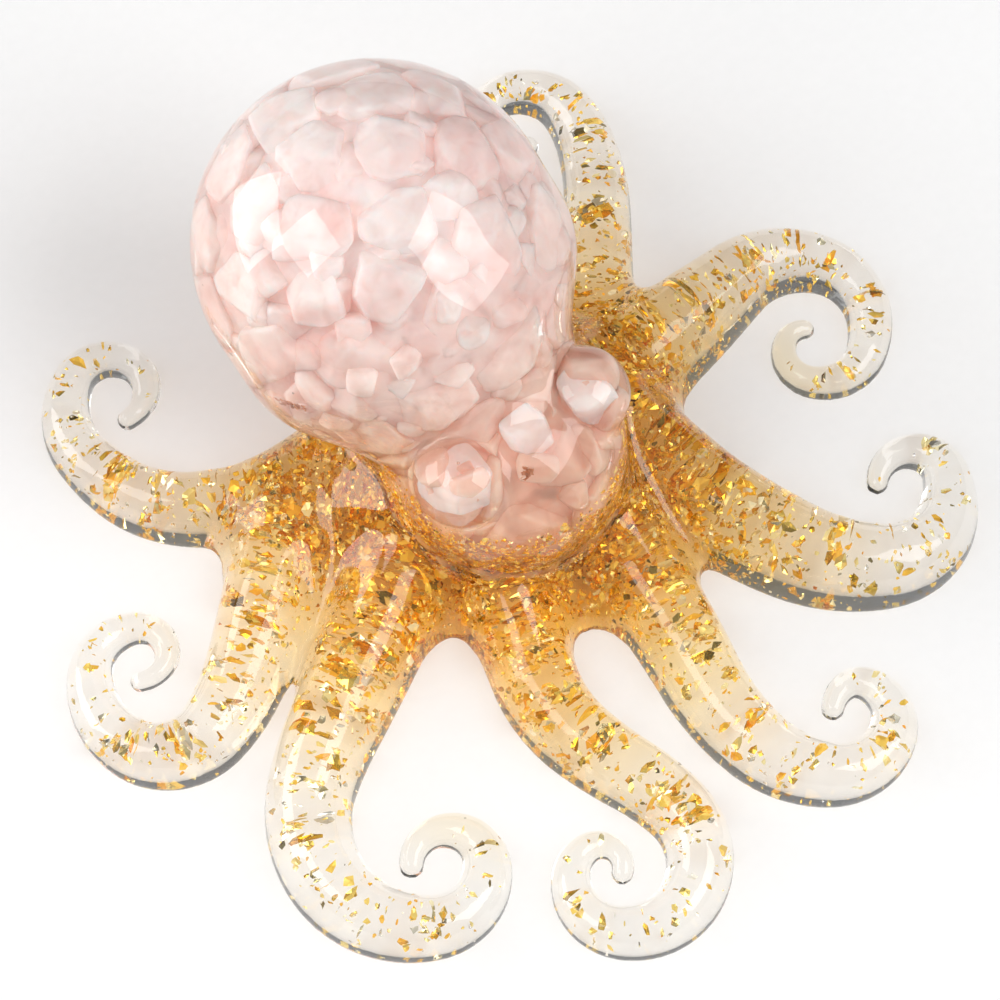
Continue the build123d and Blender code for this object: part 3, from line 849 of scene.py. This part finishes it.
def arm_flakes(line, dice, count):
    """Places inside a tentacle, closer together near the web."""
    share = ARM_START_SHARE + (1 - ARM_START_SHARE) * dice.beta(1.0, ARM_THINNING, count)
    index = np.clip((share * len(line.xy)).astype(int), 0, len(line.xy) - 1)
    aside = dice.uniform(-ARM_ASIDE_SHARE, ARM_ASIDE_SHARE, count) * line.half[index]
    up = line.height[index] * dice.uniform(*ARM_HEIGHT_SHARES, count)
    heading = line.heading[index]
    x = line.xy[index, 0] - np.sin(heading) * aside
    y = line.xy[index, 1] + np.cos(heading) * aside
    return np.stack([x, y, up], -1)


def hub_flakes(dice, count, top=HUB_HIGHEST):
    """Places in the skirt round the face, fewer further out."""
    angle = dice.uniform(0, math.tau, count)
    reach = HUB_REACH * dice.uniform(HUB_INNER_SHARE, 1, count) ** HUB_CROWDING
    x = WEB_CENTRE[0] + reach * np.cos(angle)
    y = WEB_CENTRE[1] + reach * np.sin(angle)
    places = np.stack([x, y, dice.uniform(HUB_LOWEST, top, count)], -1)
    wanted = np.clip((HUB_END - reach) / HUB_FADE, 0, 1) ** HUB_THINNING
    return places[dice.uniform(0, 1, count) < wanted]


def chin_flakes(dice, count):
    """Places under the skin of the face's lower half, which the second pour covers."""
    ways = dice.normal(0, 1, (count, 3))
    ways /= np.linalg.norm(ways, axis=1)[:, None]
    places = FACE_CENTRE + ways * (FACE_RADIUS - dice.uniform(*CHIN_DEPTHS, count))[:, None]
    wanted = np.clip((CHIN_EDGE - places[:, 2]) / CHIN_FADE, 0, 1) * (places[:, 1] < CHIN_END)
    return places[dice.uniform(0, 1, count) < wanted]


# Materials

def material(name):
    """A material with its node tree and its main shader."""
    made = bpy.data.materials.new(name)
    made.use_nodes = True
    tree = made.node_tree
    return made, tree, tree.nodes["Principled BSDF"]


def ramp(tree, factor, stops):
    """Colours, or shades of grey given as one number, at places along a factor."""
    node = tree.nodes.new("ShaderNodeValToRGB")
    while len(node.color_ramp.elements) < len(stops):
        node.color_ramp.elements.new(0.5)
    for element, (place, colour) in zip(node.color_ramp.elements, stops):
        element.position = place
        element.color = (*colour, 1) if isinstance(colour, tuple) else (colour, colour, colour, 1)
    tree.links.new(factor, node.inputs[0])
    return node.outputs[0]


def noise(tree, scale, detail=4.0, distortion=0.0):
    """Noise in the object's own space, from 0 to 1."""
    place = tree.nodes.new("ShaderNodeTexCoord")
    node = tree.nodes.new("ShaderNodeTexNoise")
    node.inputs["Scale"].default_value = scale
    node.inputs["Detail"].default_value = detail
    node.inputs["Distortion"].default_value = distortion
    tree.links.new(place.outputs["Object"], node.inputs["Vector"])
    return node.outputs["Fac"]


def mixed(tree, factor, first, second, blend_type="MIX"):
    """A mix of two colours. Each input is a socket or a plain value."""
    node = tree.nodes.new("ShaderNodeMix")
    node.data_type = "RGBA"
    node.blend_type = blend_type
    for index, value in ((0, factor), (6, first), (7, second)):
        if isinstance(value, bpy.types.NodeSocket):
            tree.links.new(value, node.inputs[index])
        else:
            node.inputs[index].default_value = value
    return node.outputs[2]


def let_through(tree, body, colour, *rays):
    """Lets the named kinds of ray pass the surface, tinted by a colour."""
    path = tree.nodes.new("ShaderNodeLightPath")
    through = tree.nodes.new("ShaderNodeBsdfTransparent")
    through.inputs["Color"].default_value = (*colour, 1)
    shown = body.outputs[0]
    for ray in rays:
        mix = tree.nodes.new("ShaderNodeMixShader")
        tree.links.new(path.outputs[ray], mix.inputs[0])
        tree.links.new(shown, mix.inputs[1])
        tree.links.new(through.outputs[0], mix.inputs[2])
        shown = mix.outputs[0]
    tree.links.new(shown, tree.nodes["Material Output"].inputs["Surface"])


# Resin: its tint by distance from the hub in metres, amber near the hub as painted golden glow from the foil
# and clear further out, and by height how much of it is the head's
HUB = (0, -0.010, 0)
RESIN_CLEAR_AND_GLOW_TINTS = ((0.020, (1.0, 0.65, 0.16)), (0.032, (1.0, 0.83, 0.46)), (0.052, (0.99, 0.99, 0.98)))
RESIN_HEAD_TINT = (1.0, 0.985, 0.98)
RESIN_HEAD_SHARES = ((0.018, 0.0), (0.026, 1.0))
RESIN_SHADOW = (0.98, 0.968, 0.95)


def resin_material():
    """Clear epoxy, tinted amber round the face where the foil lies closest, as painted golden glow from the
    foil. Lamps shine through it to what is inside and below."""
    made, tree, body = material("clear_resin")
    place = tree.nodes.new("ShaderNodeTexCoord")
    far = tree.nodes.new("ShaderNodeVectorMath")
    far.operation = "DISTANCE"
    far.inputs[1].default_value = HUB
    tree.links.new(place.outputs["Object"], far.inputs[0])
    split = tree.nodes.new("ShaderNodeSeparateXYZ")
    tree.links.new(place.outputs["Object"], split.inputs[0])
    above = ramp(tree, split.outputs["Z"], RESIN_HEAD_SHARES)
    # Painted golden glow: the resin tinted amber near the hub, clear further out
    clear_and_glow_tint = ramp(tree, far.outputs["Value"], RESIN_CLEAR_AND_GLOW_TINTS)
    tree.links.new(mixed(tree, above, clear_and_glow_tint, (*RESIN_HEAD_TINT, 1)), body.inputs["Base Color"])
    body.inputs["Roughness"].default_value = 0.01
    body.inputs["IOR"].default_value = 1.5
    body.inputs["Transmission Weight"].default_value = 1.0
    let_through(tree, body, RESIN_SHADOW, "Is Shadow Ray", "Is Diffuse Ray")
    return made


def stain_material():
    """Rust in the stone."""
    made, tree, body = material("iron_stain")
    rust = ramp(tree, noise(tree, 900, 5, 1.0), ((0.35, (0.48, 0.14, 0.05)), (0.65, (0.84, 0.45, 0.28))))
    tree.links.new(rust, body.inputs["Base Color"])
    body.inputs["Roughness"].default_value = 0.6
    body.inputs["Transmission Weight"].default_value = 0.2
    body.inputs["IOR"].default_value = 1.05
    return made


# Quartz: milky clouds, fine speckles, and by height in metres painted shade and painted golden glow, darker
# and warmer lower down near the foil
QUARTZ_CLOUDS = (
    (0.30, (0.96, 0.77, 0.75)), (0.48, (0.98, 0.87, 0.86)), (0.62, (0.99, 0.93, 0.925)),
    (0.78, (1.0, 0.98, 0.975)),
)
QUARTZ_WHITE = (1.0, 0.98, 0.975)
QUARTZ_SPECKLES = ((0.30, (0.90, 0.86, 0.85)), (0.50, (0.97, 0.96, 0.96)), (0.68, 1.0))
QUARTZ_PAINTED_GLOW_SHADE = (
    (0.018, (0.85, 0.60, 0.44)), (0.027, (0.87, 0.66, 0.53)), (0.035, (0.92, 0.78, 0.71)),
    (0.044, (0.97, 0.90, 0.87)), (0.053, (0.99, 0.98, 0.98)),
)
QUARTZ_SHADOW = (0.78, 0.71, 0.69)


def quartz_material(name, white_share):
    """Milky rose quartz that lets some light through to the stones behind it."""
    made, tree, body = material(name)
    clouds = ramp(tree, noise(tree, 110, 6, 0.8), QUARTZ_CLOUDS)
    geometry = tree.nodes.new("ShaderNodeNewGeometry")
    whiter_stops = ((0.35, white_share), (1.0, 0.75 + white_share / 4))
    whiter = ramp(tree, geometry.outputs["Random Per Island"], whiter_stops)
    milky = mixed(tree, whiter, clouds, (*QUARTZ_WHITE, 1))
    speckles = ramp(tree, noise(tree, 480, 6, 0.6), QUARTZ_SPECKLES)
    place = tree.nodes.new("ShaderNodeTexCoord")
    split = tree.nodes.new("ShaderNodeSeparateXYZ")
    tree.links.new(place.outputs["Object"], split.inputs[0])
    # Painted shade and painted golden glow from the foil: the stones darker and warmer lower down, less so on
    # the pale ones
    painted_glow_shade = ramp(tree, split.outputs["Z"], QUARTZ_PAINTED_GLOW_SHADE)
    speckled = mixed(tree, 1.0, milky, speckles, "MULTIPLY")
    glow_shaded = mixed(tree, 1.0 - white_share, speckled, painted_glow_shade, "MULTIPLY")
    tree.links.new(glow_shaded, body.inputs["Base Color"])
    body.inputs["Roughness"].default_value = 0.3
    body.inputs["IOR"].default_value = 1.06
    body.inputs["Subsurface Weight"].default_value = 1.0
    body.inputs["Subsurface Radius"].default_value = (1.0, 0.7, 0.62)
    body.inputs["Subsurface Scale"].default_value = 0.004
    clearer = ramp(tree, noise(tree, 160, 4, 1.5), ((0.35, 0.5), (0.65, 0.15)))
    tree.links.new(clearer, body.inputs["Transmission Weight"])
    bump = tree.nodes.new("ShaderNodeBump")
    bump.inputs["Strength"].default_value = 0.15
    bump.inputs["Distance"].default_value = 0.0003
    tree.links.new(noise(tree, 700, 3), bump.inputs["Height"])
    tree.links.new(bump.outputs[0], body.inputs["Normal"])
    let_through(tree, body, QUARTZ_SHADOW, "Is Shadow Ray")
    return made


# Foil: a colour for each flake, nearly all gold; a few near-white ones are painted glints and a few dark ones
# painted reflections of dark surroundings
FOIL_COLOURS_AND_GLINTS = (
    (0.0, (1.0, 0.52, 0.04)), (0.3, (1.0, 0.66, 0.10)), (0.6, (1.0, 0.78, 0.24)),
    (0.85, (1.0, 0.90, 0.52)), (0.93, (1.0, 0.98, 0.90)), (0.975, (0.25, 0.20, 0.07)),
)
FOIL_METALLIC = ((0.40, 0.28), (0.65, 0.9))
FOIL_SHADOW = (0.66, 0.44, 0.12)


def foil_material():
    """Gilding foil, some flakes bright and some mirror-like; the near-white flakes are painted glints and the
    dark ones painted reflections of dark surroundings. Light that gets past it is golden.
    """
    made, tree, body = material("gold_foil")
    chance = tree.nodes.new("ShaderNodeNewGeometry").outputs["Random Per Island"]
    # Painted glints and reflections: near-white and dark colours for a few flakes, gold for the rest
    tree.links.new(ramp(tree, chance, FOIL_COLOURS_AND_GLINTS), body.inputs["Base Color"])
    many = tree.nodes.new("ShaderNodeMath")
    many.operation = "MULTIPLY"
    many.inputs[1].default_value = 37.0
    tree.links.new(chance, many.inputs[0])
    other_chance = tree.nodes.new("ShaderNodeMath")
    other_chance.operation = "FRACT"
    tree.links.new(many.outputs[0], other_chance.inputs[0])
    tree.links.new(ramp(tree, other_chance.outputs[0], FOIL_METALLIC), body.inputs["Metallic"])
    body.inputs["Roughness"].default_value = 0.17
    let_through(tree, body, FOIL_SHADOW, "Is Shadow Ray")
    return made


def floor_material():
    """Pale studio paper."""
    made, tree, body = material("floor_paper")
    paper = ramp(tree, noise(tree, 500, 3), ((0.3, 0.95), (0.7, 0.97)))
    tree.links.new(paper, body.inputs["Base Color"])
    body.inputs["Roughness"].default_value = 0.9
    return made


# Build

resin_points, resin_faces = resin_surface()
bubble_points, bubble_faces = bubbles()
cast_points = np.concatenate([resin_points, bubble_points])
resin = mesh_object("octopus_resin", cast_points, resin_faces, bubble_faces + len(resin_points))
resin.data.materials.append(resin_material())
resin_nodes = [node for node in sorted(frame["nodes"]) if node.endswith("_resin") or node.endswith("_dome")]
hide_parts(*resin_nodes, *["tentacle_" + name for name in TENTACLES])
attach(resin, "root")

quartz = quartz_material("rose_quartz", 0.0)
pale_quartz = quartz_material("pale_quartz", 0.8)
for node in CHIP_NODES:
    chip_object(node).data.materials.append(pale_quartz if node.endswith("_chip") else quartz)
gap_stones().data.materials.append(quartz)
iron_stains().data.materials.append(stain_material())
core_fill().data.materials.append(quartz)

foil = foil_material()
dice = np.random.default_rng(7)


def gilded(name, singles, middles):
    """The foil of one CAD node: loose flakes and crumpled clusters."""
    grouped = clusters(middles, dice)
    places = np.concatenate([singles, grouped])
    sizes = np.concatenate([flake_sizes(len(singles), dice), dice.uniform(*LEAF_SIZES, len(grouped))])
    made = foil_object("foil_flakes_" + name, ["foil_" + name], places, sizes, dice)
    made.data.materials.append(foil)


loose = np.concatenate([hub_flakes(dice, HUB_TRIES), hub_flakes(dice, HUB_LOW_TRIES, HUB_LOW_HIGHEST)])
gilded("skirt", loose, hub_flakes(dice, HUB_CLUSTERS))
for name, line in LINES.items():
    gilded(name, arm_flakes(line, dice, ARM_TRIES), arm_flakes(line, dice, ARM_CLUSTERS))
chin_places = chin_flakes(dice, CHIN_TRIES)
chin_sizes = flake_sizes(len(chin_places), dice) * CHIN_SIZE_SHARE
chin = foil_object("foil_flakes_chin", [], chin_places, chin_sizes, dice, in_head=True)
chin.data.materials.append(foil)


# Floor, light and camera, in metres

FLOOR_REACH = 3.0
FLOOR_DROP = 0.0002

# Soft boxes: azimuth from +Y towards +X, elevation, distance, width, height and power
SOFTBOXES = {
    "softbox_left": (-46, 18, 0.7, 0.50, 0.42, 2.8),
    "softbox_left_high": (-80, 46, 0.7, 0.34, 0.34, 1.3),
    "softbox_right": (146, 42, 0.7, 0.48, 0.48, 2.9),
}

# The room is brighter overhead, and darker to one side, beyond the octopus as the camera sees it
ROOM_BY_HEIGHT = ((0.0, 0.12), (0.22, 0.24), (0.45, 0.46))
FAR_SIDE = (0.50, 0.69, 0.52)
ROOM_BY_SIDE = ((0.55, 1.0), (0.9, 0.3))

CAMERA_PLACE = (-0.12031, -0.16270, 0.43850)
CAMERA_AIM = (-0.00011, -0.00886, 0)
CAMERA_LENS = 129.6
CAMERA_SENSOR = 36


def stage():
    """A plain pale floor, a hair under the flat undersides."""
    signs = ((-1, -1), (1, -1), (1, 1), (-1, 1))
    corners = [(FLOOR_REACH * a, FLOOR_REACH * b, -FLOOR_DROP) for a, b in signs]
    mesh = bpy.data.meshes.new("floor")
    mesh.from_pydata(corners, [], [(0, 1, 2, 3)])
    floor = bpy.data.objects.new("floor", mesh)
    bpy.context.scene.collection.objects.link(floor)
    floor.data.materials.append(floor_material())


def softbox(name, azimuth, elevation, distance, width, height, power):
    """An area light that faces the octopus."""
    a, e = math.radians(azimuth), math.radians(elevation)
    way = Vector((math.sin(a) * math.cos(e), math.cos(a) * math.cos(e), math.sin(e)))
    light = bpy.data.lights.new(name, "AREA")
    light.shape = "RECTANGLE"
    light.size = width
    light.size_y = height
    light.energy = power
    lamp = bpy.data.objects.new(name, light)
    lamp.location = way * distance
    lamp.rotation_euler = (-way).to_track_quat("-Z", "Y").to_euler()
    bpy.context.scene.collection.objects.link(lamp)


def room():
    """The light from all round."""
    world = bpy.context.scene.world or bpy.data.worlds.new("studio")
    bpy.context.scene.world = world
    world.use_nodes = True
    tree = world.node_tree
    place = tree.nodes.new("ShaderNodeTexCoord").outputs["Generated"]
    split = tree.nodes.new("ShaderNodeSeparateXYZ")
    tree.links.new(place, split.inputs[0])
    toward = tree.nodes.new("ShaderNodeVectorMath")
    toward.operation = "DOT_PRODUCT"
    toward.inputs[1].default_value = FAR_SIDE
    tree.links.new(place, toward.inputs[0])
    by_height = ramp(tree, split.outputs["Z"], ROOM_BY_HEIGHT)
    by_side = ramp(tree, toward.outputs["Value"], ROOM_BY_SIDE)
    tree.links.new(mixed(tree, 1.0, by_height, by_side, "MULTIPLY"), tree.nodes["Background"].inputs["Color"])
    tree.nodes["Background"].inputs["Strength"].default_value = 1.0


def place_camera():
    """The photograph's view: from above, in front and a little to the left."""
    data = bpy.data.cameras.new("camera")
    data.lens = CAMERA_LENS
    data.sensor_width = CAMERA_SENSOR
    camera = bpy.data.objects.new("camera", data)
    camera.location = CAMERA_PLACE
    camera.rotation_euler = (Vector(CAMERA_AIM) - camera.location).to_track_quat("-Z", "Y").to_euler()
    bpy.context.scene.collection.objects.link(camera)
    bpy.context.scene.camera = camera


stage()
for name, values in SOFTBOXES.items():
    softbox(name, *values)
room()
bpy.context.scene.view_settings.view_transform = "Standard"
place_camera()
